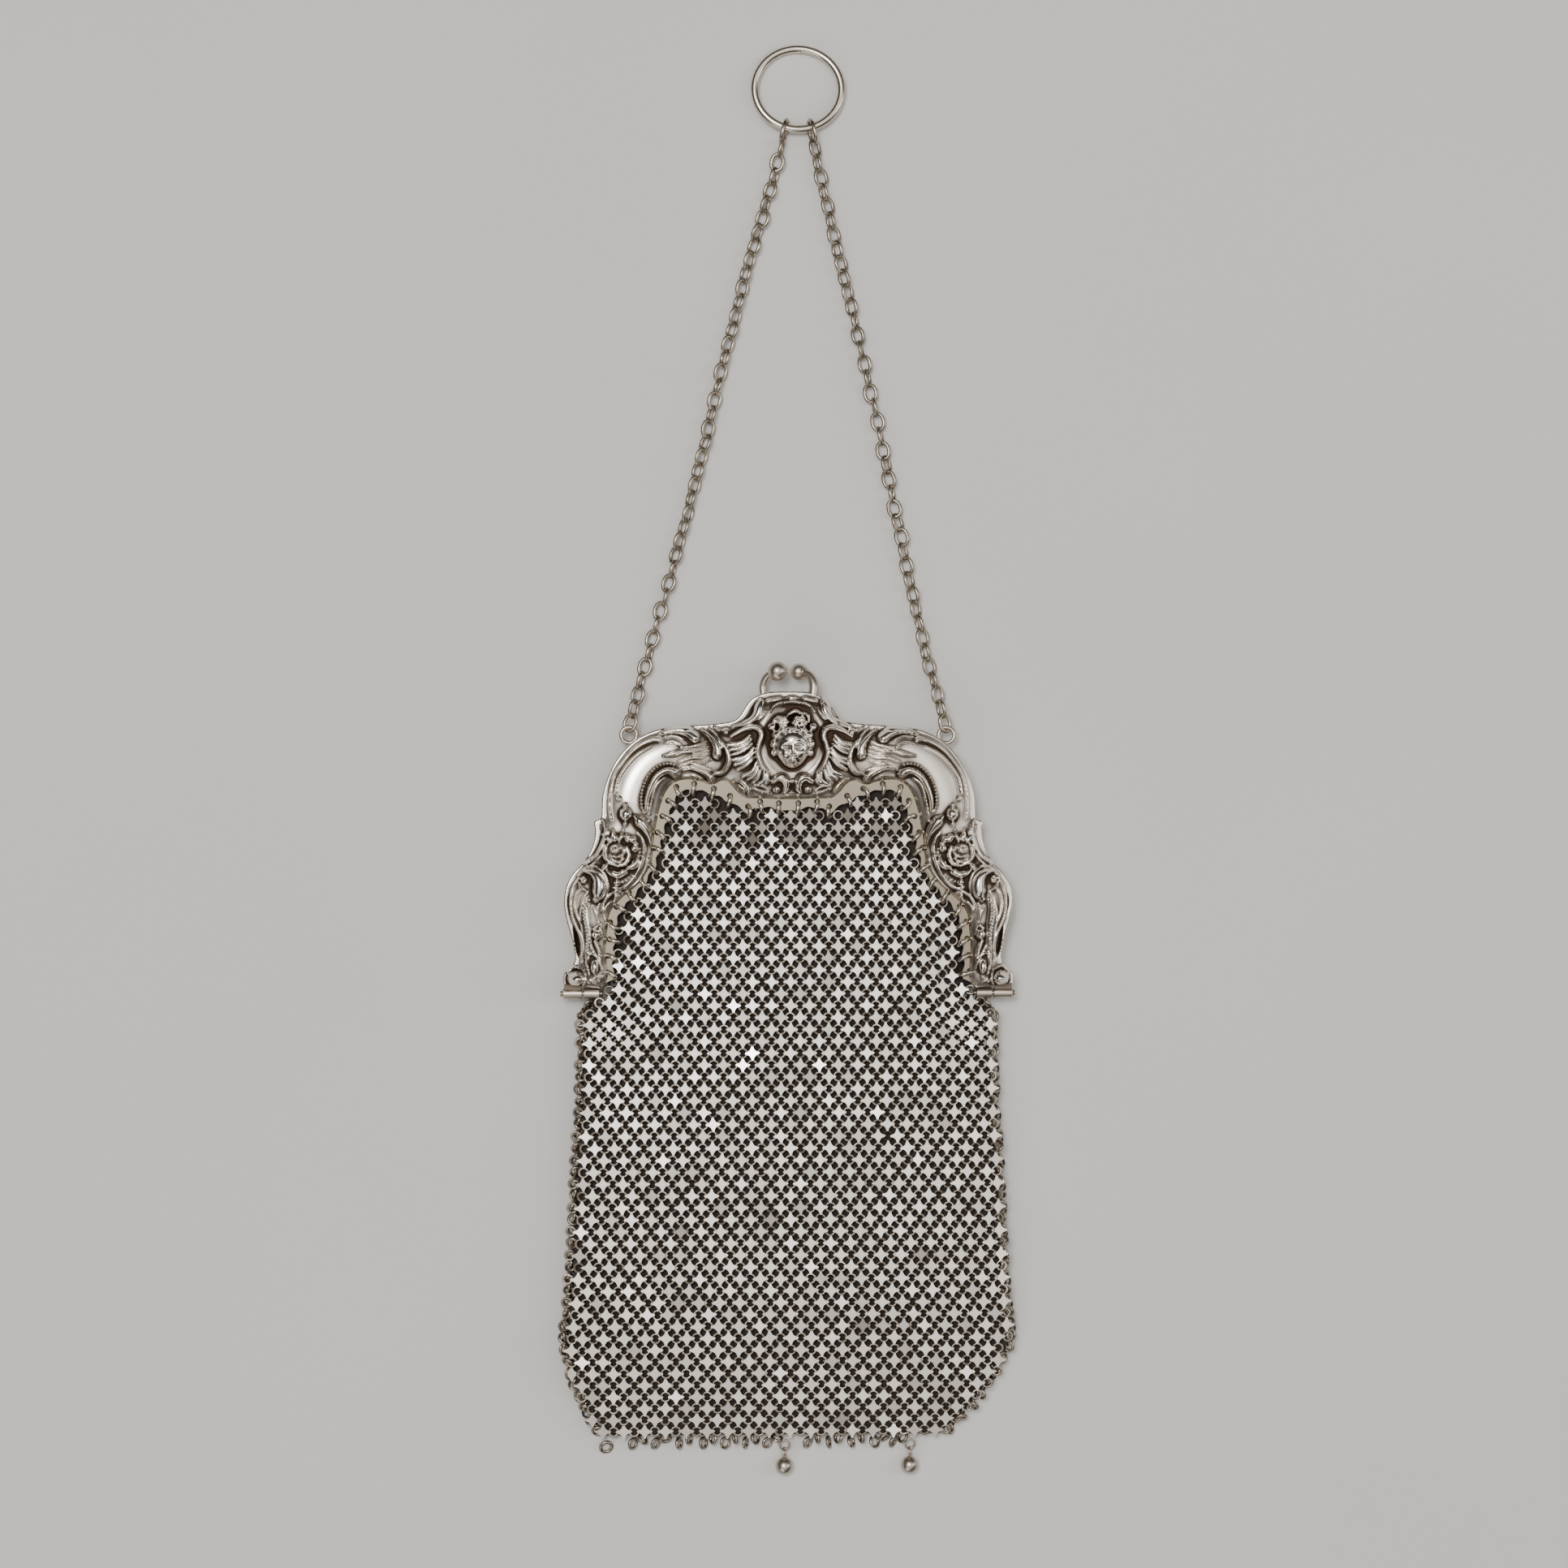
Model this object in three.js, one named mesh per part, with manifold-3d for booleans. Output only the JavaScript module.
// A silver mesh purse of about 1900, lying on its back with its chain and finger ring laid out above it.
// Units are millimetres. +X is to the right, +Y towards the finger ring, +Z up from the table at Z = 0.
// The purse is two hinged frame halves with a kiss lock, a hollow pouch of metal mesh hung from the pierced
// inner strips of the halves, two ball drops, and a finger ring on two strands of cable chain.
import * as THREE from "three";
import { mergeVertices } from "three/addons/utils/BufferGeometryUtils.js";
import Module from "manifold-3d";

const wasm = await Module();
wasm.setup();

// Frame: sizes of one closed half, and of the whole arch.
const FRAME_HALF_WIDTH = 52.8; // centre line to the knee of the arch
const FRAME_HEIGHT = 70.5; // hinge axis to the crest of the arch
const HALF_WALL = 2.4; // straight side wall of one half
const DOME_RISE = 2.6; // crown of a half above its wall
const RIM_WIDTH = 1.0; // flat ledge outside the crown
const FRONT_RELIEF = 0.9; // height of the front ornament above the crown
const BACK_RELIEF = 0.6; // height of the back ornament above the crown
const ORNAMENT_SINK = 0.7; // how deep an ornament's foot goes into the crown
const HALVES_GAP = 0.3; // between the closed halves

// Sewing strip that carries the mesh, soldered inside each half.
const STRIP_THICKNESS = 0.5;
const STRIP_SEAT = 0.14; // share of the arch's width that the strip reaches under the crown
const STRIP_HEIGHT = 1.5; // its inner face above the parting plane
const STRIP_HOLE_RADIUS = 0.48;
const STRIP_HOLE_SIDES = 5;

// Hinges: one barrel at each foot, split into a front and a back knuckle.
const BARREL_RADIUS = 1.15;
const BARREL_LENGTH = 8.6;
const BARREL_SIDES = 10;
const FRONT_KNUCKLE_SHARE = 0.54;
const KNUCKLE_GAP = 0.3;
const PIN_RADIUS = 0.42;
const PIN_CLEARANCE = 0.26;
const PIN_HEAD_RADIUS = 0.85;
const PIN_HEAD_LENGTH = 0.45;
const PIN_END_PLAY = 0.3;

// Kiss lock: two balls on bowed arms that snap past each other.
const LOCK_BALL_RADIUS = 2.15;
const LOCK_BALL_OFFSET = 2.55; // ball centre from the lock's centre line
const LOCK_BALL_STAND = 4.7; // ball centre above the crest
const LOCK_ARM_SPREAD = 5.7; // foot of an arm from the centre line
const LOCK_ARM_RADIUS = 0.72;
const LOCK_ARM_FOOT_DEPTH = 1.4; // how far an arm's foot is let into its half
const LOCK_BALL_CROSSING = 1.35; // ball centre past the parting plane

// Chain ears, soldered to the shoulders of the back half.
const EAR_RADIUS = 1.85; // centre line of the ear's wire
const EAR_WIRE_RADIUS = 0.42;
const EAR_DROP = 1.3; // ear plane below the parting plane

// Mesh pouch.
const POUCH_HALF_WIDTH = 53.7; // at its widest
const POUCH_DEPTH = 106.4; // hinge axis to the bottom edge
const POUCH_THICKNESS = 8.0;
const POUCH_WALL = 1.3;
const POUCH_FRAME_GAP = 0.35; // between the mesh edge and the sewing strips
const POUCH_SIDE_POINTS = 5; // points on each rounded side of a section
const EDGE_RING_RADIUS = 1.2;
const EDGE_RING_WIRE_RADIUS = 0.3;

// Ball drops on the bottom edge.
const DROP_BALL_RADIUS = 2.1;
const DROP_LOOP_RADIUS = 1.15;
const DROP_LOOP_WIRE_RADIUS = 0.28;
const DROP_LOOP_SINK = 0.35; // how far a loop's wire is let into its ball
const DROP_LOOP_PLAY = 0.3; // between a loop and its edge ring

// Chain and finger ring.
const RING_WIDTH = 22.4; // outside, across the purse
const RING_HEIGHT = 21.2; // outside, along the purse
const RING_WIRE = 1.95;
const RING_CENTRE = { x: 2.5, y: 212.2 };
const RING_LOW_SIDE = 2.6; // height of the wire's centre where the end links carry it
const END_LINK = { length: 6.6, width: 5.4, wire: 0.95, lean: 12 };
const END_LINK_SPREAD = 6.1; // between the two end links
const CHAIN_WIDTH = 3.6; // envelope of the cable links
const CHAIN_SIDES = 8;
const CHAIN_STEP = 2.6; // tube step, in chain widths
const CHAIN_END_GAP = 0.35;
// Share of the strand from the finger ring, and its lift off the table there.
const CHAIN_LIE = [
  { along: 0, lift: 0.4 },
  { along: 0.05, lift: 0 },
  { along: 0.86, lift: 0 },
  { along: 0.95, lift: 1.1 },
  { along: 1, lift: 2.5 },
];

// The chart: every table below gives places on a grid whose half-width and height are these steps.
const CHART_HALF_WIDTH = 278;
const CHART_HEIGHT = 371;
const CHART_POUCH_WIDTH = 282;
const CHART_POUCH_DEPTH = 560;

// One row for each section of the left half of the arch, from foot to crest. rise is a share of DOME_RISE.
const ARCH = [
  { at: "foot", outer: [277, 13], inner: [232, 9], rise: 0.75 },
  { at: "foot", outer: [276, 25], inner: [226, 22], rise: 0.8 },
  { at: "ankle", outer: [262, 43], inner: [223, 38], rise: 0.6 },
  { at: "shin", outer: [266, 66], inner: [224, 60], rise: 0.65 },
  { at: "calf", outer: [272, 87], inner: [222, 84], rise: 0.75 },
  { at: "knee", outer: [276, 109], inner: [217, 103], rise: 0.85 },
  { at: "knee", outer: [274, 130], inner: [205, 119], rise: 0.95 },
  { at: "knee", outer: [266, 147], inner: [190, 131], rise: 1.0 },
  { at: "waist", outer: [254, 160], inner: [176, 146], rise: 0.9 },
  { at: "waist", outer: [243, 177], inner: [168, 172], rise: 0.85 },
  { at: "waist", outer: [238, 196], inner: [165, 195], rise: 0.85 },
  { at: "notch", outer: [239, 211], inner: [162, 211], rise: 0.85 },
  { at: "shoulder", outer: [230, 217], inner: [160, 222], rise: 0.9 },
  { at: "shoulder", outer: [229, 236], inner: [156, 236], rise: 0.95 },
  { at: "shoulder", outer: [224, 258], inner: [151, 248], rise: 1.0 },
  { at: "shoulder", outer: [213, 284], inner: [144, 258], rise: 1.0 },
  { at: "shoulder", outer: [196, 306], inner: [134, 264], rise: 1.0 },
  { at: "shoulder", outer: [174, 320], inner: [122, 265], rise: 1.0 },
  { at: "wing", outer: [146, 326], inner: [106, 262], rise: 0.95 },
  { at: "wing", outer: [112, 330], inner: [90, 259], rise: 0.9 },
  { at: "wing", outer: [82, 332], inner: [74, 259], rise: 0.85 },
  { at: "crest", outer: [65, 338], inner: [61, 255], rise: 0.8 },
  { at: "crest", outer: [54, 352], inner: [47, 247], rise: 0.75 },
  { at: "crest", outer: [40, 364], inner: [32, 242], rise: 0.7 },
  { at: "crest", outer: [20, 370], inner: [16, 240], rise: 0.65 },
  { at: "crest", outer: [0, 371], inner: [0, 239], rise: 0.65 },
];

// Across a section: share of the width from the rim's inner corner to the inner edge, and share of its rise.
const CROWN = [
  { across: 0.04, lift: 0.5 },
  { across: 0.34, lift: 0.97 },
  { across: 0.7, lift: 0.88 },
  { across: 0.95, lift: 0.34 },
];
const INNER_EDGE_LIFT = 0.9; // share of the wall that the inner edge keeps

// Scalloped edge of the sewing strip, left half, from foot to centre.
const STRIP_EDGE = [
  [215, 21], [212, 60], [211, 84], [204, 98], [190, 108], [178, 124], [165, 141], [156, 160], [153, 180],
  [146, 206], [143, 221], [138, 236], [130, 245], [117, 248], [106, 242], [90, 237], [78, 236], [70, 231],
  [60, 221], [49, 218], [38, 224], [32, 228], [16, 226], [0, 225],
];
const STRIP_HOLES = [
  [223, 27], [222, 47], [220, 67], [219, 88], [211, 107], [196, 124], [182, 141], [171, 159], [165, 179],
  [161, 198], [155, 218], [148, 237], [138, 254], [116, 258], [92, 252], [72, 243], [50, 230], [35, 236],
  [12, 234],
];

// Raised scrolls, as centre lines on the chart. wide and tip are widths in chart steps, in the middle and at
// the last point; high is a share of the relief height.
const SCROLLS = [
  { of: "shoulder edge", path: [[224, 216], [225, 244], [220, 268], [199, 299], [171, 314], [160, 312]], wide: 5, tip: 7, high: 0.8 },
  { of: "shoulder leaf", path: [[163, 318], [151, 324], [137, 325], [120, 316]], wide: 7, tip: 10, high: 0.9 },
  { of: "inner shoulder", path: [[179, 221], [179, 243], [168, 267], [155, 274], [142, 268]], wide: 6, tip: 9, high: 1 },
  { of: "under leaf", path: [[140, 271], [125, 275], [108, 270], [98, 260]], wide: 6, tip: 8, high: 0.9 },
  { of: "comma", path: [[113, 325], [101, 318], [93, 305], [93, 293]], wide: 8, tip: 11, high: 1.2 },
  { of: "comma bow", path: [[101, 326], [85, 311], [78, 290], [81, 273], [96, 270]], wide: 6, tip: 7, high: 1 },
  { of: "waist leaf", path: [[193, 216], [184, 211], [176, 198], [172, 185]], wide: 9, tip: 5, high: 1 },
  { of: "rose bow", path: [[184, 200], [178, 182], [182, 155], [201, 134], [217, 130]], wide: 5, tip: 6, high: 0.8 },
  { of: "knee comma", path: [[260, 143], [252, 152], [238, 148], [231, 130], [239, 120]], wide: 9, tip: 14, high: 1.2 },
  { of: "knee edge", path: [[274, 126], [272, 100], [264, 66], [261, 44]], wide: 4, tip: 4, high: 0.8 },
  { of: "shin scroll", path: [[212, 119], [220, 125], [232, 110], [233, 92], [228, 72]], wide: 6, tip: 4, high: 1 },
  { of: "foot leaf", path: [[243, 46], [246, 34], [240, 22]], wide: 10, tip: 8, high: 0.9 },
  { of: "crest scroll", path: [[37, 359], [40, 345], [56, 331], [74, 324]], wide: 8, tip: 4, high: 1 },
  { of: "wing edge", path: [[74, 318], [56, 328], [42, 326], [39, 311], [42, 292], [31, 275]], wide: 6, tip: 4, high: 1.3 },
  { of: "base scroll", path: [[27, 264], [17, 268], [8, 262], [8, 251], [19, 249]], wide: 7, tip: 8, high: 1.3 },
];
const BACK_SCROLLS = ["shoulder edge", "inner shoulder", "comma", "comma bow", "knee comma", "shin scroll", "crest scroll"];
const SCROLL_STEPS = 1; // sections between two charted points
const BOSS_SIDES = 6;

// Wing feathers, from root to tip.
const FEATHERS = [
  { root: [48, 321], tip: [77, 306] },
  { root: [47, 309], tip: [76, 294] },
  { root: [47, 297], tip: [71, 281] },
  { root: [44, 286], tip: [62, 267] },
  { root: [39, 277], tip: [49, 257] },
];
const FEATHER_WIDTH = 9;
const FEATHER_TIP = 5;
const FEATHER_LIFT = 0.9;

// Bosses: beads, buds and petals. size is [across, along] radii in chart steps.
const BOSSES = [
  { of: "urn", at: [206, 224], size: [8, 9], high: 1.2 },
  { of: "rose heart", at: [216, 176], size: [7, 7], high: 1.6 },
  { of: "rose petal", at: [226, 166], size: [8, 8], high: 1.1 },
  { of: "rose petal", at: [206, 166], size: [8, 8], high: 1.1 },
  { of: "rose petal", at: [205, 186], size: [8, 8], high: 1.1 },
  { of: "rose petal", at: [226, 187], size: [8, 8], high: 1.1 },
  { of: "shin bud", at: [241, 75], size: [6, 8], high: 0.9 },
  { of: "foot ball", at: [264, 20], size: [10, 9], high: 1.6 },
];
const BACK_BOSSES = ["urn", "foot ball", "rose heart"];
const CENTRE_BOSSES = [
  { of: "crest bar", at: [0, 362], size: [9, 3.5], high: 0.7 },
  { of: "crest bar", at: [22, 359], size: [7, 3.5], high: 0.7 },
  { of: "crest bar", at: [-22, 359], size: [7, 3.5], high: 0.7 },
  { of: "head", at: [0, 304], size: [21, 27], high: 2.6 },
  { of: "forelock", at: [0, 332], size: [10, 9], high: 2.6 },
  { of: "curl", at: [16, 327], size: [9, 9], high: 2.4 },
  { of: "curl", at: [-16, 327], size: [9, 9], high: 2.4 },
  { of: "curl", at: [24, 313], size: [7, 9], high: 1.8 },
  { of: "curl", at: [-24, 313], size: [7, 9], high: 1.8 },
  { of: "cheek", at: [9, 296], size: [8, 9], high: 3.1 },
  { of: "cheek", at: [-9, 296], size: [8, 9], high: 3.1 },
  { of: "nose", at: [0, 301], size: [4, 6], high: 3.7 },
  { of: "chin", at: [0, 284], size: [6, 5], high: 2.9 },
];
const BACK_MEDALLION = { of: "medallion", at: [0, 304], size: [26, 34], high: 0.8 };

// Sections of the pouch from its bottom edge up into the arch. half is its half-width and shift its sideways
// lean in pouch chart steps, down its distance below the hinges (above them it is negative), low and top its
// underside and upper side as shares of the thickness.
const POUCH_SECTIONS = [
  { down: 560, half: 200, shift: -22, low: 0.0, top: 0.42 },
  { down: 548, half: 210, shift: -20, low: 0.0, top: 0.52 },
  { down: 520, half: 238, shift: -12, low: 0.0, top: 0.68 },
  { down: 475, half: 266, shift: -6, low: 0.0, top: 0.82 },
  { down: 432, half: 282, shift: 0, low: 0.0, top: 0.92 },
  { down: 340, half: 275, shift: 0, low: 0.0, top: 1.0 },
  { down: 230, half: 267, shift: 0, low: 0.0, top: 1.0 },
  { down: 120, half: 261, shift: 0, low: 0.0, top: 0.98 },
  { down: 22, half: 258, shift: 0, low: 0.0, top: 0.98 },
  { down: 8, half: 240, shift: 0, low: 0.03, top: 0.98 },
  { down: -12, half: 218, shift: 0, low: 0.06, top: 0.98 },
  { down: -110, half: 214, shift: 0, low: 0.1, top: 0.99 },
  { down: -260, half: 214, shift: 0, low: 0.12, top: 1.0 },
];
const MOUTH_FROM = 9; // first section whose sides are open

const PARTING = HALF_WALL + DOME_RISE + BACK_RELIEF + HALVES_GAP / 2;
const FRONT_BASE = PARTING + HALVES_GAP / 2;
const BACK_BASE = PARTING - HALVES_GAP / 2;
const SMALLEST_EDGE = 1e-4;

// The solid that a closed three.js geometry encloses.
function solidOf(geometry) {
  const bare = new THREE.BufferGeometry();
  bare.setAttribute("position", geometry.getAttribute("position"));
  if (geometry.index) bare.setIndex(geometry.index);
  const merged = mergeVertices(bare, SMALLEST_EDGE);
  const corners = merged.index.array;
  const kept = [];
  for (let i = 0; i < corners.length; i += 3) {
    const [a, b, c] = [corners[i], corners[i + 1], corners[i + 2]];
    if (a !== b && b !== c && c !== a) kept.push(a, b, c);
  }
  const make = (faces) =>
    new wasm.Manifold(
      new wasm.Mesh({
        numProp: 3,
        vertProperties: new Float32Array(merged.attributes.position.array),
        triVerts: new Uint32Array(faces),
      }),
    );
  const solid = make(kept);
  return solid.volume() > 0 ? solid : make(kept.reverse());
}

function geometryOf(solid) {
  const mesh = solid.getMesh();
  const geometry = new THREE.BufferGeometry();
  geometry.setAttribute("position", new THREE.BufferAttribute(new Float32Array(mesh.vertProperties), 3));
  geometry.setIndex(new THREE.BufferAttribute(new Uint32Array(mesh.triVerts), 1));
  const flat = geometry.toNonIndexed();
  flat.computeVertexNormals();
  return flat;
}

const joined = (solids) => solids.reduce((whole, solid) => whole.add(solid));

// A closed skin over rings of equal point count, with a fan of faces over each end.
function loft(rings) {
  const count = rings[0].length;
  const points = rings.flat();
  const faces = [];
  for (let r = 0; r + 1 < rings.length; r++) {
    for (let k = 0; k < count; k++) {
      const a = r * count + k;
      const b = r * count + ((k + 1) % count);
      faces.push(a, b, b + count, a, b + count, a + count);
    }
  }
  [rings[0], rings[rings.length - 1]].forEach((ring, end) => {
    const middle = ring.reduce((sum, p) => sum.clone().add(p), new THREE.Vector3()).divideScalar(count);
    const centre = points.push(middle) - 1;
    const first = end ? (rings.length - 1) * count : 0;
    for (let k = 0; k < count; k++) {
      const a = first + k;
      const b = first + ((k + 1) % count);
      faces.push(...(end ? [centre, a, b] : [centre, b, a]));
    }
  });
  const geometry = new THREE.BufferGeometry();
  geometry.setAttribute("position", new THREE.Float32BufferAttribute(points.flatMap((p) => [p.x, p.y, p.z]), 3));
  geometry.setIndex(faces);
  return solidOf(geometry);
}

// Chart places as real ones. side is -1 for the left half and 1 for the right one.
const chartX = (steps) => (steps / CHART_HALF_WIDTH) * FRAME_HALF_WIDTH;
const chartY = (steps) => (steps / CHART_HEIGHT) * FRAME_HEIGHT;
const chartPoint = ([across, up], side) => new THREE.Vector2(side * chartX(across), chartY(up));
const chartSize = (steps) => chartX(steps);

// A round wire bent into a closed oval in its own XY plane.
function wireLoop(halfLength, halfWidth, wireRadius, segments, sides) {
  const rings = [];
  for (let k = 0; k < segments; k++) {
    const turn = (k / segments) * 2 * Math.PI;
    const centre = new THREE.Vector3(halfWidth * Math.cos(turn), halfLength * Math.sin(turn), 0);
    const out = new THREE.Vector3(halfLength * Math.cos(turn), halfWidth * Math.sin(turn), 0).normalize();
    rings.push(
      Array.from({ length: sides }, (_, s) => {
        const roll = (s / sides) * 2 * Math.PI;
        const reach = out.clone().multiplyScalar(wireRadius * Math.cos(roll));
        return centre.clone().add(reach).setZ(wireRadius * Math.sin(roll));
      }),
    );
  }
  const points = rings.flat();
  const faces = [];
  for (let k = 0; k < segments; k++) {
    for (let s = 0; s < sides; s++) {
      const a = k * sides + s;
      const b = k * sides + ((s + 1) % sides);
      const c = ((k + 1) % segments) * sides + s;
      const d = ((k + 1) % segments) * sides + ((s + 1) % sides);
      faces.push(a, c, d, a, d, b);
    }
  }
  const geometry = new THREE.BufferGeometry();
  geometry.setAttribute("position", new THREE.Float32BufferAttribute(points.flatMap((p) => [p.x, p.y, p.z]), 3));
  geometry.setIndex(faces);
  return geometry;
}

function ball(radius, place, widthSegments = 10, heightSegments = 7) {
  const geometry = new THREE.SphereGeometry(radius, widthSegments, heightSegments);
  return solidOf(geometry.translate(place.x, place.y, place.z));
}

function rod(curve, radius, steps, sides) {
  const section = new THREE.Shape(
    Array.from({ length: sides }, (_, k) => {
      const turn = (k / sides) * 2 * Math.PI;
      return new THREE.Vector2(radius * Math.cos(turn), radius * Math.sin(turn));
    }),
  );
  return solidOf(new THREE.ExtrudeGeometry(section, { steps, extrudePath: curve, bevelEnabled: false }));
}

// Height of a section's crown over the parting plane, at a share of its width.
function crownHeight(section, across) {
  const rows = [
    { across: 0, lift: 0 },
    ...CROWN,
    { across: 1, lift: (HALF_WALL * (INNER_EDGE_LIFT - 1)) / (DOME_RISE * section.rise) },
  ];
  const next = Math.max(1, rows.findIndex((row) => row.across >= across));
  const [low, high] = [rows[next - 1], rows[next]];
  const part = (across - low.across) / (high.across - low.across);
  return HALF_WALL + DOME_RISE * section.rise * (low.lift + (high.lift - low.lift) * part);
}

// Height of the crown at any place of the arch, blended from its two nearest sections.
function crownAt(place) {
  const near = ARCH.map((section) => {
    const outer = chartPoint(section.outer, 1);
    const span = chartPoint(section.inner, 1).sub(outer);
    const reach = new THREE.Vector2(Math.abs(place.x), place.y).sub(outer);
    const across = THREE.MathUtils.clamp(reach.dot(span) / span.lengthSq(), 0, 1);
    return { away: reach.distanceTo(span.multiplyScalar(across)), height: crownHeight(section, across) };
  }).sort((a, b) => a.away - b.away);
  const weights = near.slice(0, 2).map((row) => 1 / (row.away + SMALLEST_EDGE));
  return (near[0].height * weights[0] + near[1].height * weights[1]) / (weights[0] + weights[1]);
}

// The crowned arch of one half, standing on the parting plane.
function archBody() {
  const walk = [
    ...ARCH.map((section) => ({ section, side: -1 })),
    ...ARCH.slice(0, -1).reverse().map((section) => ({ section, side: 1 })),
  ];
  return loft(
    walk.map(({ section, side }) => {
      const outer = chartPoint(section.outer, side);
      const span = chartPoint(section.inner, side).sub(outer);
      const rim = RIM_WIDTH / span.length();
      const at = (across, z) => {
        const place = outer.clone().addScaledVector(span, across);
        return new THREE.Vector3(place.x, place.y, z);
      };
      return [
        at(0, 0),
        at(0, HALF_WALL),
        at(rim, HALF_WALL),
        ...CROWN.map(({ across, lift }) =>
          at(rim + (1 - rim) * across, HALF_WALL + DOME_RISE * section.rise * lift),
        ),
        at(1, HALF_WALL * INNER_EDGE_LIFT),
        at(1, 0),
      ];
    }),
  );
}

// The pierced strip along the inner edge of one half.
function sewingStrip() {
  const seat = (side) =>
    ARCH.map((section) => {
      const inner = chartPoint(section.inner, side);
      return inner.lerp(chartPoint(section.outer, side), STRIP_SEAT);
    });
  const edge = (side) => STRIP_EDGE.map((step) => chartPoint(step, side));
  const outline = [
    ...edge(-1),
    ...edge(1).slice(0, -1).reverse(),
    ...seat(1),
    ...seat(-1).slice(0, -1).reverse(),
  ];
  const strip = solidOf(
    new THREE.ExtrudeGeometry(new THREE.Shape(outline), { depth: STRIP_THICKNESS, bevelEnabled: false }),
  );
  const drills = [-1, 1].flatMap((side) =>
    STRIP_HOLES.map((step) => {
      const place = chartPoint(step, side);
      const drill = new THREE.CylinderGeometry(
        STRIP_HOLE_RADIUS, STRIP_HOLE_RADIUS, STRIP_THICKNESS * 4, STRIP_HOLE_SIDES,
      );
      return solidOf(drill.rotateX(Math.PI / 2).translate(place.x, place.y, 0));
    }),
  );
  return strip.subtract(joined(drills)).translate([0, 0, STRIP_HEIGHT]);
}

// A raised scroll whose foot is sunk in the crown.
function scroll({ path, wide, tip, high }, side, relief) {
  const places = path.map((step) => chartPoint(step, side));
  const line = new THREE.SplineCurve(places);
  const steps = (path.length - 1) * SCROLL_STEPS;
  const rings = [];
  for (let k = 0; k <= steps; k++) {
    const part = k / steps;
    const place = line.getPoint(part);
    const along = line.getTangent(part);
    const aside = new THREE.Vector2(-along.y, along.x);
    const swell = part < 0.5 ? Math.min(1, 0.4 + 1.6 * part) * wide : wide + (tip - wide) * (2 * part - 1);
    const half = chartSize(swell) / 2;
    const crown = crownAt(place);
    const lift = high * relief * Math.min(1, 0.45 + 2.5 * part);
    const at = (offset, z) => new THREE.Vector3(place.x + aside.x * offset, place.y + aside.y * offset, z);
    rings.push([at(-half, crown - ORNAMENT_SINK), at(0, crown + lift), at(half, crown - ORNAMENT_SINK)]);
  }
  return loft(rings);
}

// A rounded boss let into the crown.
function boss({ at, size, high }, side, relief, sides = BOSS_SIDES) {
  const place = chartPoint(at, side);
  const profile = [[0, 0], [1, 0], [0.74, 0.8], [0, 1]].map(([x, y]) => new THREE.Vector2(x, y));
  const dome = new THREE.LatheGeometry(profile, sides).rotateX(Math.PI / 2);
  dome.scale(chartSize(size[0]), chartSize(size[1]), high * relief + ORNAMENT_SINK);
  return solidOf(dome.translate(place.x, place.y, crownAt(place) - ORNAMENT_SINK));
}

function feather({ root, tip }, side) {
  return scroll(
    { path: [root, tip], wide: FEATHER_WIDTH, tip: FEATHER_TIP, high: FEATHER_LIFT },
    side,
    FRONT_RELIEF,
  );
}

function frontOrnament() {
  const sides = [-1, 1].flatMap((side) => [
    ...SCROLLS.map((row) => scroll(row, side, FRONT_RELIEF)),
    ...FEATHERS.map((row) => feather(row, side)),
    ...BOSSES.map((row) => boss(row, side, FRONT_RELIEF)),
  ]);
  return [...sides, ...CENTRE_BOSSES.map((row) => boss(row, 1, FRONT_RELIEF))];
}

function backOrnament() {
  const sides = [-1, 1].flatMap((side) => [
    ...SCROLLS.filter((row) => BACK_SCROLLS.includes(row.of)).map((row) => scroll(row, side, BACK_RELIEF)),
    ...BOSSES.filter((row) => BACK_BOSSES.includes(row.of)).map((row) => boss(row, side, BACK_RELIEF / 1.6)),
  ]);
  return [...sides, boss(BACK_MEDALLION, 1, BACK_RELIEF, 14)];
}

// One knuckle of a hinge barrel on the hinge axis, with the tang that joins it to its half.
function knuckle(from, to, side, up) {
  const length = to - from;
  const middle = side * (from + to) / 2;
  const turned = (radius) =>
    new THREE.CylinderGeometry(radius, radius, length, BARREL_SIDES).rotateZ(Math.PI / 2);
  const barrel = solidOf(turned(BARREL_RADIUS).translate(middle, 0, 0));
  const reach = chartY(ARCH[1].inner[1]);
  const tang = new THREE.BoxGeometry(length, reach, BARREL_RADIUS - HALVES_GAP / 2);
  tang.translate(middle, reach / 2, (up * (BARREL_RADIUS + HALVES_GAP / 2)) / 2);
  return barrel.add(solidOf(tang));
}

function pinBores() {
  const bore = new THREE.CylinderGeometry(
    PIN_RADIUS + PIN_CLEARANCE, PIN_RADIUS + PIN_CLEARANCE, FRAME_HALF_WIDTH * 4, BARREL_SIDES,
  );
  return solidOf(bore.rotateZ(Math.PI / 2));
}

const BARREL_OUT = chartX(ARCH[0].outer[0]);
const BARREL_IN = BARREL_OUT - BARREL_LENGTH;
const KNUCKLE_SPLIT = BARREL_OUT - BARREL_LENGTH * FRONT_KNUCKLE_SHARE;

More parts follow.
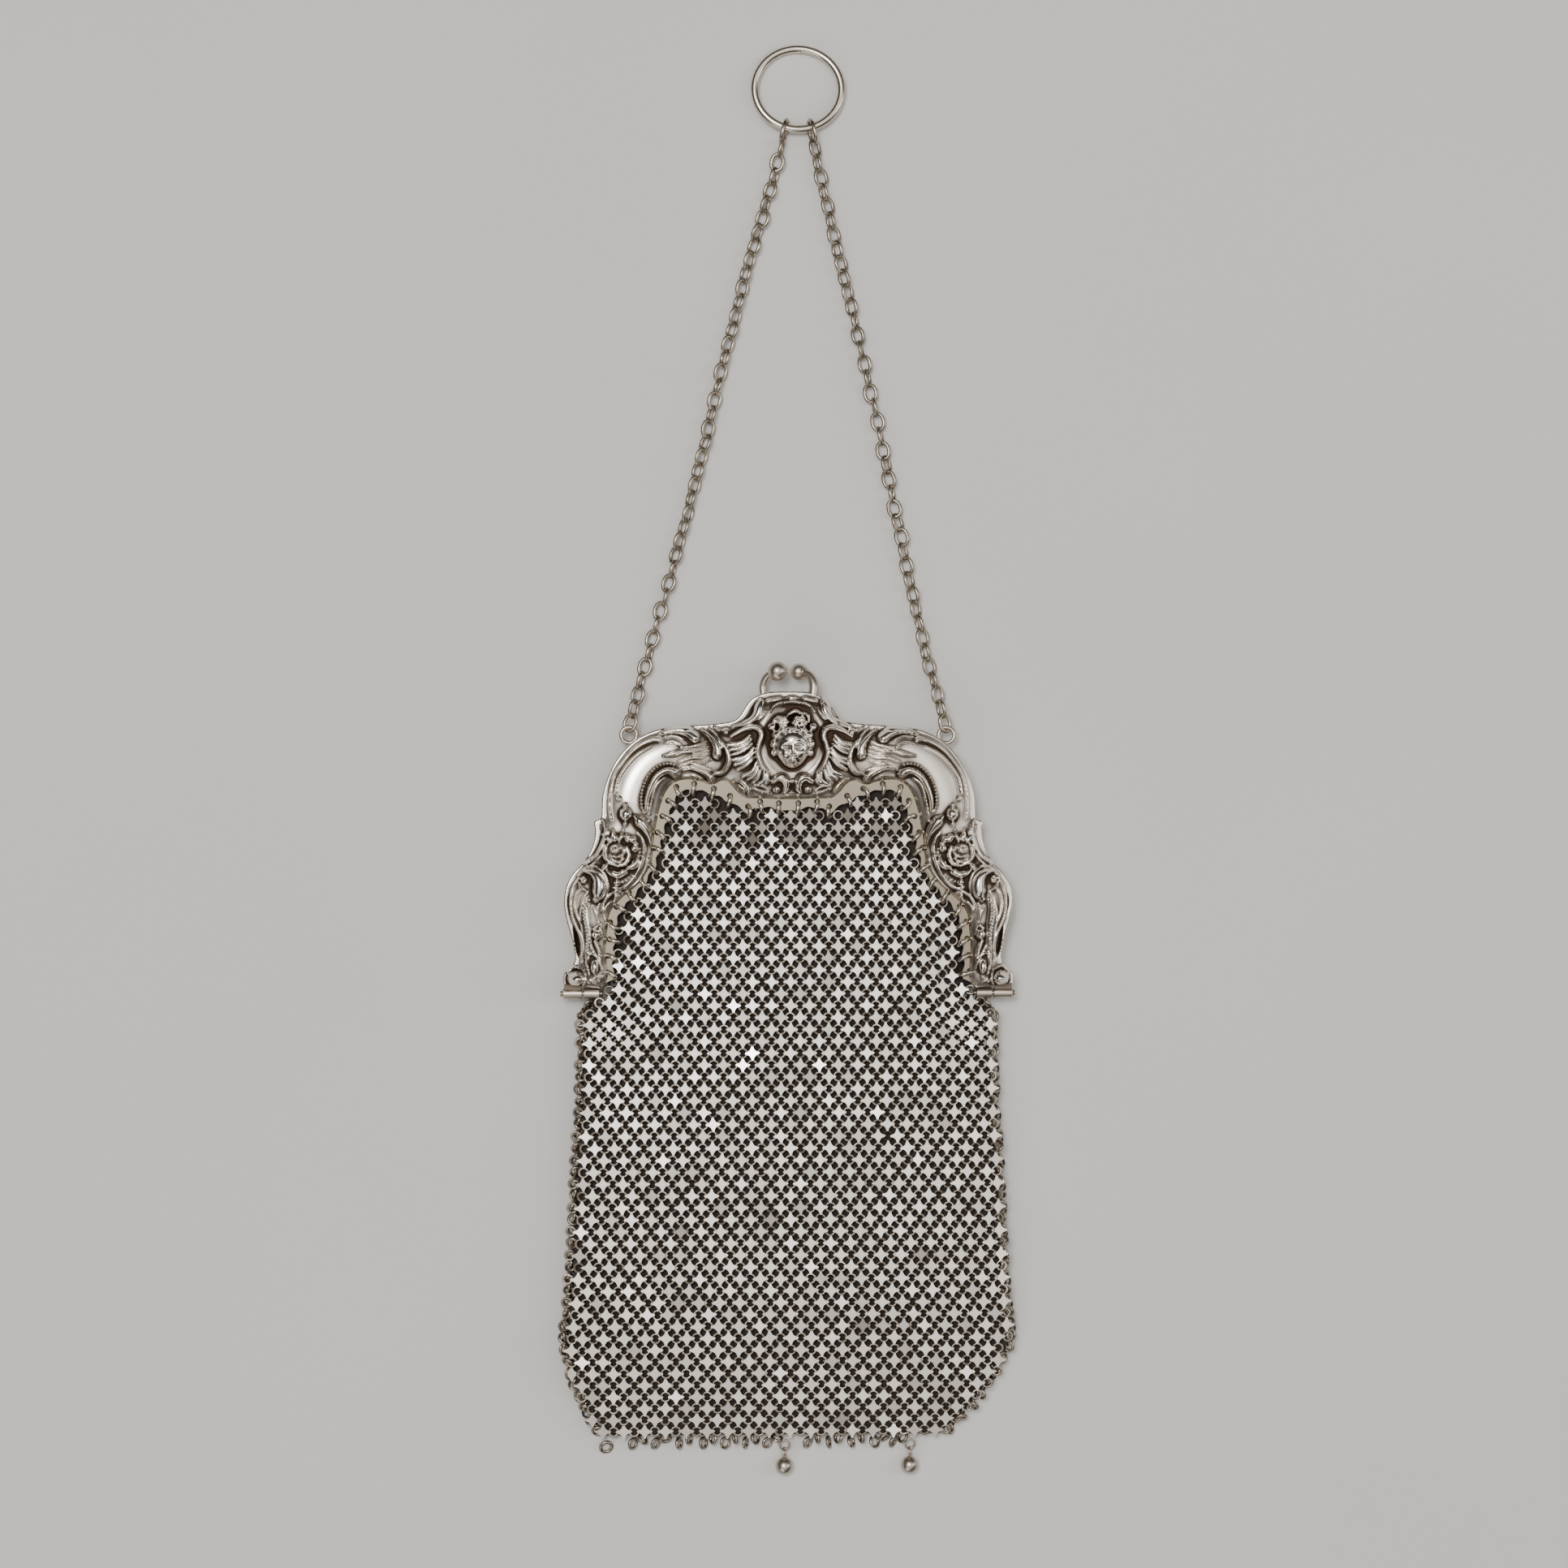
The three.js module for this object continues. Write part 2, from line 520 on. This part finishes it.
// The bowed arm of the kiss lock with its ball. The half's own z points away from the parting plane.
function lockArm(side, up, base) {
  const foot = new THREE.Vector3(side * LOCK_ARM_SPREAD, FRAME_HEIGHT - LOCK_ARM_FOOT_DEPTH, base + up * HALF_WALL / 2);
  const centre = new THREE.Vector3(
    side * LOCK_BALL_OFFSET, FRAME_HEIGHT + LOCK_BALL_STAND, PARTING - up * LOCK_BALL_CROSSING,
  );
  const bow = new THREE.CatmullRomCurve3([
    foot,
    new THREE.Vector3(foot.x, FRAME_HEIGHT + LOCK_BALL_STAND * 0.35, foot.z),
    new THREE.Vector3(
      side * (LOCK_ARM_SPREAD * 0.7 + LOCK_BALL_OFFSET * 0.3),
      FRAME_HEIGHT + LOCK_BALL_STAND * 0.85,
      (foot.z + centre.z) / 2,
    ),
    centre,
  ]);
  return rod(bow, LOCK_ARM_RADIUS, 6, 6).add(ball(LOCK_BALL_RADIUS, centre));
}

const EAR_PLACE = { across: 196, up: 318 }; // chart place of an ear's centre

function ear(side) {
  const place = chartPoint([EAR_PLACE.across, EAR_PLACE.up], side);
  const loop = wireLoop(EAR_RADIUS, EAR_RADIUS, EAR_WIRE_RADIUS, 12, 5);
  return solidOf(loop.translate(place.x, place.y, PARTING - EAR_DROP));
}

function frontHalf() {
  const half = joined([archBody(), sewingStrip(), ...frontOrnament()]).translate([0, 0, FRONT_BASE]);
  const knuckles = [-1, 1].map((side) => knuckle(KNUCKLE_SPLIT + KNUCKLE_GAP / 2, BARREL_OUT, side, 1));
  const hinged = half.add(joined(knuckles).translate([0, 0, PARTING]));
  return hinged.subtract(pinBores().translate([0, 0, PARTING])).add(lockArm(1, 1, FRONT_BASE));
}

function backHalf() {
  const half = joined([archBody(), sewingStrip(), ...backOrnament()]).mirror([0, 0, 1]).translate([0, 0, BACK_BASE]);
  const knuckles = [-1, 1].map((side) => knuckle(BARREL_IN, KNUCKLE_SPLIT - KNUCKLE_GAP / 2, side, -1));
  const hinged = half.add(joined(knuckles).translate([0, 0, PARTING]));
  return joined([
    hinged.subtract(pinBores().translate([0, 0, PARTING])),
    lockArm(-1, -1, BACK_BASE),
    ear(-1),
    ear(1),
  ]);
}

function hingePin() {
  const half = BARREL_LENGTH / 2 + PIN_END_PLAY;
  const end = half + PIN_HEAD_LENGTH;
  const profile = [
    [0, -end], [PIN_HEAD_RADIUS, -end], [PIN_HEAD_RADIUS, -half], [PIN_RADIUS, -half],
    [PIN_RADIUS, half], [PIN_HEAD_RADIUS, half], [PIN_HEAD_RADIUS, end], [0, end],
  ].map(([x, y]) => new THREE.Vector2(x, y));
  return solidOf(new THREE.LatheGeometry(profile, BARREL_SIDES).rotateZ(Math.PI / 2));
}

const pouchX = (steps) => (steps / CHART_POUCH_WIDTH) * POUCH_HALF_WIDTH;
const pouchY = (steps) => -(steps > 0 ? (steps / CHART_POUCH_DEPTH) * POUCH_DEPTH : chartY(steps));

// A flattened oval across the pouch at one height.
function pouchRing(section, inset, spread) {
  const half = pouchX(section.half) - inset + spread;
  const low = section.low * POUCH_THICKNESS + inset;
  const top = section.top * POUCH_THICKNESS - inset;
  const middle = (low + top) / 2;
  const bulge = (top - low) / 2;
  const ring = [];
  for (const side of [1, -1]) {
    for (let k = 0; k < POUCH_SIDE_POINTS; k++) {
      const turn = (k / (POUCH_SIDE_POINTS - 1) - 0.5) * Math.PI;
      const x = side * (half - bulge + bulge * Math.cos(turn));
      ring.push(new THREE.Vector3(x + pouchX(section.shift), pouchY(section.down), middle + side * bulge * Math.sin(turn)));
    }
  }
  return ring;
}

// A polyline moved sideways to its left by a distance, its last point kept on the centre line.
function inset(points, distance) {
  return points.map((point, k) => {
    const before = points[Math.max(0, k - 1)];
    const after = points[Math.min(points.length - 1, k + 1)];
    const into = point.clone().sub(before).normalize();
    const out = after.clone().sub(point).normalize();
    if (!k) into.copy(out);
    if (k === points.length - 1) out.set(-1, 0), into.set(-1, 0);
    const turned = into.clone().add(out).normalize();
    const reach = distance / Math.max(0.6, turned.dot(into));
    return point.clone().add(new THREE.Vector2(-turned.y, turned.x).multiplyScalar(reach));
  });
}

// The hollow pouch: a lofted bag, cut to the strips' scallops where it hangs in the arch, open along that edge.
function pouch() {
  const bag = loft(POUCH_SECTIONS.map((section) => pouchRing(section, 0, 0)));
  const hollow = loft(
    POUCH_SECTIONS.map((section, k) => {
      const lifted = k ? section : { ...section, down: section.down - POUCH_WALL * 5 };
      return pouchRing(lifted, POUCH_WALL, k >= MOUTH_FROM ? 4 * POUCH_WALL : 0);
    }),
  );
  const edge = (side) => inset(STRIP_EDGE.map((step) => chartPoint(step, 1)), POUCH_FRAME_GAP)
    .map((point) => new THREE.Vector2(side * point.x, point.y));
  const lowest = -POUCH_DEPTH * 2;
  const shoulderY = -BARREL_RADIUS - POUCH_FRAME_GAP;
  const wide = POUCH_HALF_WIDTH * 2;
  const opening = new THREE.Shape([
    new THREE.Vector2(-wide, lowest),
    new THREE.Vector2(wide, lowest),
    new THREE.Vector2(wide, shoulderY),
    new THREE.Vector2(BARREL_IN - POUCH_FRAME_GAP * 3, shoulderY),
    ...edge(1),
    ...edge(-1).slice(0, -1).reverse(),
    new THREE.Vector2(-BARREL_IN + POUCH_FRAME_GAP * 3, shoulderY),
    new THREE.Vector2(-wide, shoulderY),
  ]);
  const keep = solidOf(new THREE.ExtrudeGeometry(opening, { depth: POUCH_THICKNESS * 3, bevelEnabled: false }));
  const shell = bag.subtract(hollow).intersect(keep.translate([0, 0, -POUCH_THICKNESS]));
  return joined([shell, ...DROPS.map(edgeRing)]);
}

// The ball drops: chart places of the edge rings that carry them.
const DROPS = [
  { name: "drop_middle", at: -4 },
  { name: "drop_right", at: 151 },
];

function edgeRing({ at }) {
  const loop = wireLoop(EDGE_RING_RADIUS, EDGE_RING_RADIUS, EDGE_RING_WIRE_RADIUS, 10, 5);
  const sink = EDGE_RING_RADIUS * 0.4;
  return solidOf(loop.translate(pouchX(at), -POUCH_DEPTH - sink, POUCH_THICKNESS * 0.25));
}

// A ball with its soldered loop, threaded through its edge ring.
function drop({ at }) {
  const ringBottom = -POUCH_DEPTH - EDGE_RING_RADIUS * 1.4;
  const loopY = ringBottom - DROP_LOOP_RADIUS + EDGE_RING_WIRE_RADIUS + DROP_LOOP_WIRE_RADIUS + DROP_LOOP_PLAY;
  const place = new THREE.Vector3(
    pouchX(at), loopY - DROP_LOOP_RADIUS - DROP_BALL_RADIUS + DROP_LOOP_SINK, DROP_BALL_RADIUS,
  );
  const loop = wireLoop(DROP_LOOP_RADIUS, DROP_LOOP_RADIUS, DROP_LOOP_WIRE_RADIUS, 10, 5).rotateY(Math.PI / 2);
  return solidOf(loop.translate(place.x, loopY, POUCH_THICKNESS * 0.25)).add(ball(DROP_BALL_RADIUS, place));
}

// The finger ring, tipped a little because it lies across its end links.
function fingerRing() {
  const loop = wireLoop((RING_HEIGHT - RING_WIRE) / 2, (RING_WIDTH - RING_WIRE) / 2, RING_WIRE / 2, 28, 6);
  const rise = RING_LOW_SIDE - RING_WIRE / 2;
  const tip = Math.asin(rise / (RING_HEIGHT - RING_WIRE));
  loop.rotateX(-tip).translate(RING_CENTRE.x, RING_CENTRE.y, RING_WIRE / 2 + rise / 2);
  return solidOf(loop);
}

// Where the chain strands start and end, left and right.
function strand(side) {
  const across = END_LINK_SPREAD / (RING_WIDTH - RING_WIRE);
  const ringFoot = RING_CENTRE.y - ((RING_HEIGHT - RING_WIRE) / 2) * Math.sqrt(1 - across * across);
  const linkX = RING_CENTRE.x + (side * END_LINK_SPREAD) / 2;
  const earPlace = chartPoint([EAR_PLACE.across, EAR_PLACE.up], side);
  const slope = new THREE.Vector2(earPlace.x - linkX, earPlace.y - ringFoot).normalize();
  const linkCentre = new THREE.Vector2(linkX, ringFoot).addScaledVector(
    slope, (END_LINK.length - END_LINK.wire * 2 - RING_WIRE) / 2 - CHAIN_END_GAP,
  );
  return { earPlace, slope, linkCentre };
}

function endLink(side) {
  const { slope, linkCentre } = strand(side);
  const loop = wireLoop(
    (END_LINK.length - END_LINK.wire) / 2, (END_LINK.width - END_LINK.wire) / 2, END_LINK.wire / 2, 12, 6,
  );
  const upright = Math.PI / 2 - THREE.MathUtils.degToRad(END_LINK.lean) * side;
  const heading = Math.atan2(slope.y, slope.x) + Math.PI / 2;
  loop.rotateY(upright).rotateZ(heading).translate(linkCentre.x, linkCentre.y, END_LINK.width / 2);
  return solidOf(loop);
}

// A tube with the envelope of a chain strand, from its end link down to the table and up to its ear.
function chainStrand(side) {
  const { earPlace, slope, linkCentre } = strand(side);
  const start = linkCentre.clone().addScaledVector(slope, END_LINK.length / 2 + CHAIN_END_GAP);
  const end = earPlace.clone().addScaledVector(slope, -EAR_RADIUS - EAR_WIRE_RADIUS - CHAIN_END_GAP);
  const low = CHAIN_WIDTH / 2;
  const at = (part, z) => {
    const place = start.clone().lerp(end, part);
    return new THREE.Vector3(place.x, place.y, z);
  };
  const route = new THREE.CurvePath();
  CHAIN_LIE.slice(1).forEach((row, k) => {
    const before = CHAIN_LIE[k];
    route.add(new THREE.LineCurve3(at(before.along, low + before.lift), at(row.along, low + row.lift)));
  });
  const steps = Math.ceil(route.getLength() / (CHAIN_STEP * CHAIN_WIDTH));
  return rod(route, CHAIN_WIDTH / 2, steps, CHAIN_SIDES);
}

const FINISHES = {
  frame_silver: new THREE.MeshStandardMaterial({ color: 0xcfc8bf, roughness: 0.28, metalness: 1 }),
  mesh_silver: new THREE.MeshStandardMaterial({ color: 0xc6c0ba, roughness: 0.42, metalness: 1 }),
  wire_silver: new THREE.MeshStandardMaterial({ color: 0xc9c3bb, roughness: 0.33, metalness: 1 }),
};

const purse = new THREE.Group();

function place(name, solid, finish, at = [0, 0, 0]) {
  const mesh = new THREE.Mesh(geometryOf(solid), FINISHES[finish]);
  mesh.name = name;
  mesh.position.set(...at);
  purse.add(mesh);
}

place("frame_front", frontHalf(), "frame_silver");
place("frame_back", backHalf(), "frame_silver");
const barrelMiddle = (BARREL_OUT + BARREL_IN) / 2;
place("hinge_pin_left", hingePin(), "wire_silver", [-barrelMiddle, 0, PARTING]);
place("hinge_pin_right", hingePin(), "wire_silver", [barrelMiddle, 0, PARTING]);
place("mesh_pouch", pouch(), "mesh_silver");
DROPS.forEach((row) => place(row.name, drop(row), "wire_silver"));
place("finger_ring", fingerRing(), "wire_silver");
place("end_link_left", endLink(-1), "wire_silver");
place("end_link_right", endLink(1), "wire_silver");
place("chain_left", chainStrand(-1), "wire_silver");
place("chain_right", chainStrand(1), "wire_silver");

// The origin is the middle of the whole laid-out length, on the table.
const topEnd = RING_CENTRE.y + RING_HEIGHT / 2;
const bottomEnd = new THREE.Box3().setFromObject(purse).min.y;
purse.position.y = -(topEnd + bottomEnd) / 2;

export default purse;
